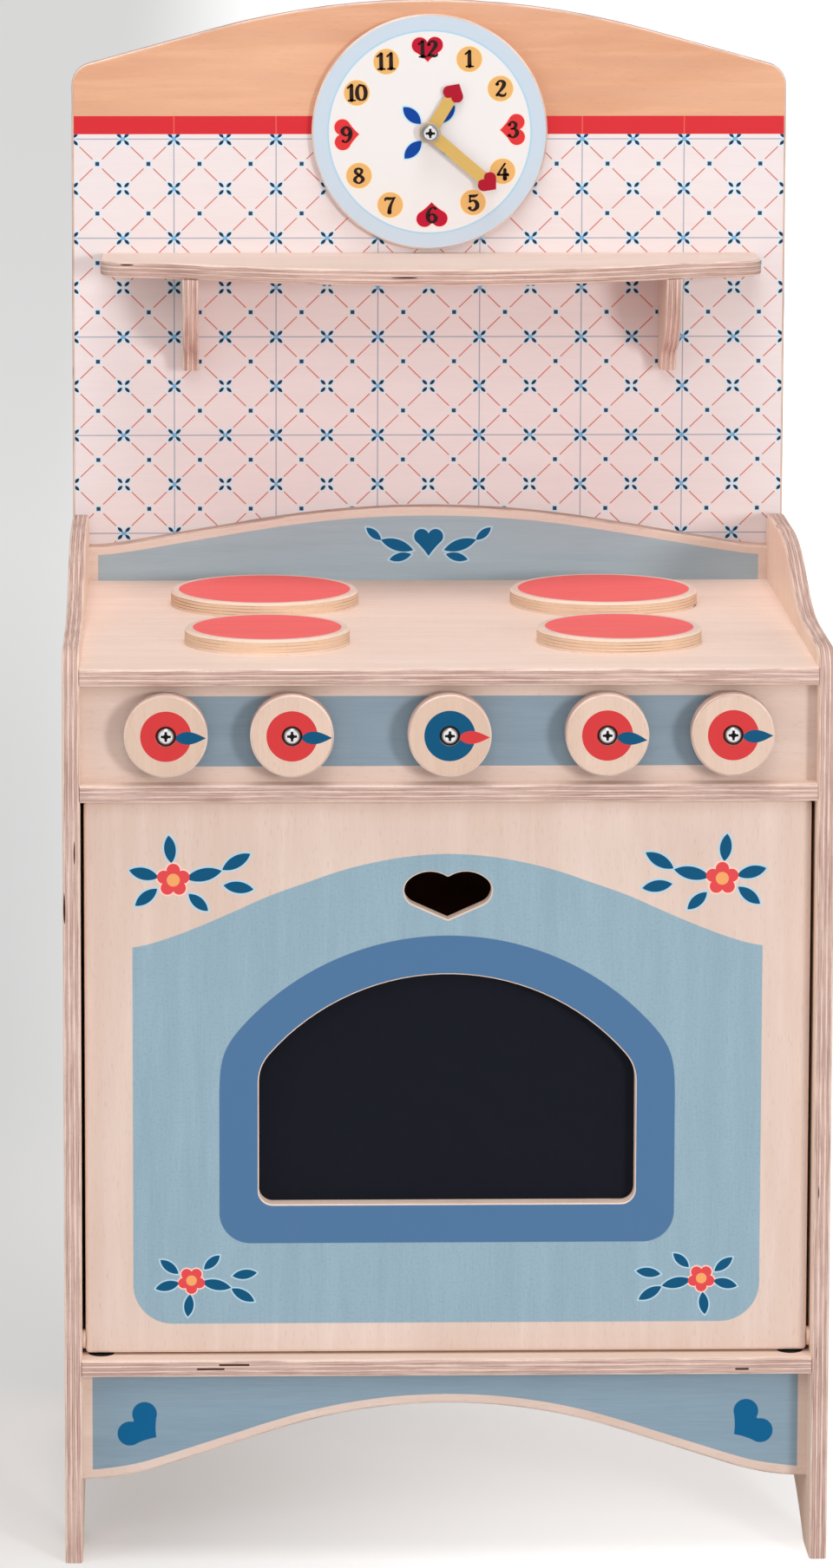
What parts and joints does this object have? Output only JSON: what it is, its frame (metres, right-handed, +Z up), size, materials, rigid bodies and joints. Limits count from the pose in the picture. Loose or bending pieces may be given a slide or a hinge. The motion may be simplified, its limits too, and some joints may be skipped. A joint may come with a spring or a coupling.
{
  "type": "toy oven",
  "caption": "Free-standing wooden play oven with drop-down windowed door, heart-shaped pull, turning knobs, hob discs, shelf and a clock with movable hands.",
  "frame": {"origin": "on the floor, at the centre of the width and of the whole depth from the knob screws' heads to the clock screw's tail", "axes": "+Z up, +X to the viewer's right, the front faces -Y"},
  "size_m": [0.44, 0.3536, 0.8819],
  "materials": {
    "birch": "clear-lacquered birch plywood",
    "tile_print": "lacquered plywood with a printed tile pattern on the front",
    "blue_print": "lacquered plywood with light blue printed decoration",
    "red_print": "lacquered plywood with red printed discs",
    "stripe_print": "lacquered plywood with a printed blue-grey stripe",
    "knob_wood": "lacquered plywood disc with a printed coloured circle",
    "clock_print": "lacquered plywood with a printed clock face",
    "hand_wood": "thin clear-lacquered plywood",
    "steel": "zinc plated",
    "rubber": "matt black",
    "pane": "dark, opaque",
    "casing": "moulded, off-white"
  },
  "bodies": {
    "stove": {"left_side_panel": "birch", "right_side_panel": "birch", "back_panel": "tile_print", "hob_board": "birch", "divider_board": "birch", "base_board": "birch", "apron": "blue_print", "control_panel": "stripe_print", "backsplash": "blue_print", "shelf": "birch", "left_shelf_bracket": "birch", "right_shelf_bracket": "birch", "front_left_burner": "red_print", "front_right_burner": "red_print", "rear_left_burner": "red_print", "rear_right_burner": "red_print", "clock_dial": "clock_print", "clock_screw": "steel", "clock_washers": "steel", "clock_lock_nut": "steel", "knob_screws": "steel", "knob_spacers": "birch", "knob_lock_nuts": "steel", "hinge_pins": "steel", "hinge_washers": "birch", "door_pads": "rubber", "catch_casing": "casing", "catch_pole_plates": "steel", "catch_screws": "steel", "case_screws": "steel", "back_panel_screws": "steel", "shelf_screws": "steel", "burner_screws": "steel"},
    "door": {"door_panel": "blue_print", "window_pane": "pane", "pane_screws": "steel", "catch_strike": "steel", "catch_strike_screw": "steel"},
    "knob_1": {"knob_1": "knob_wood"},
    "knob_2": {"knob_2": "knob_wood"},
    "knob_3": {"knob_3": "knob_wood"},
    "knob_4": {"knob_4": "knob_wood"},
    "knob_5": {"knob_5": "knob_wood"},
    "hour_hand": {"hour_hand": "hand_wood"},
    "minute_hand": {"minute_hand": "hand_wood"}
  },
  "joints": [
    {"name": "door_hinge", "type": "hinge", "parent": "stove", "child": "door", "pos_m": [0, -0.1532, 0.1284], "axis": [1, 0, 0], "range_deg": [0, 90]},
    {"name": "knob_1_turn", "type": "hinge", "parent": "stove", "child": "knob_1", "pos_m": [-0.161, -0.1702, 0.4855], "axis": [0, 1, 0], "continuous": true},
    {"name": "knob_2_turn", "type": "hinge", "parent": "stove", "child": "knob_2", "pos_m": [-0.0895, -0.1702, 0.4855], "axis": [0, 1, 0], "continuous": true},
    {"name": "knob_3_turn", "type": "hinge", "parent": "stove", "child": "knob_3", "pos_m": [0, -0.1702, 0.4855], "axis": [0, 1, 0], "continuous": true},
    {"name": "knob_4_turn", "type": "hinge", "parent": "stove", "child": "knob_4", "pos_m": [0.0895, -0.1702, 0.4855], "axis": [0, 1, 0], "continuous": true},
    {"name": "knob_5_turn", "type": "hinge", "parent": "stove", "child": "knob_5", "pos_m": [0.161, -0.1702, 0.4855], "axis": [0, 1, 0], "continuous": true},
    {"name": "hour_hand_turn", "type": "hinge", "parent": "stove", "child": "hour_hand", "pos_m": [0, 0.15375, 0.801], "axis": [0, 1, 0], "continuous": true},
    {"name": "minute_hand_turn", "type": "hinge", "parent": "stove", "child": "minute_hand", "pos_m": [0, 0.15035, 0.801], "axis": [0, 1, 0], "continuous": true}
  ]
}
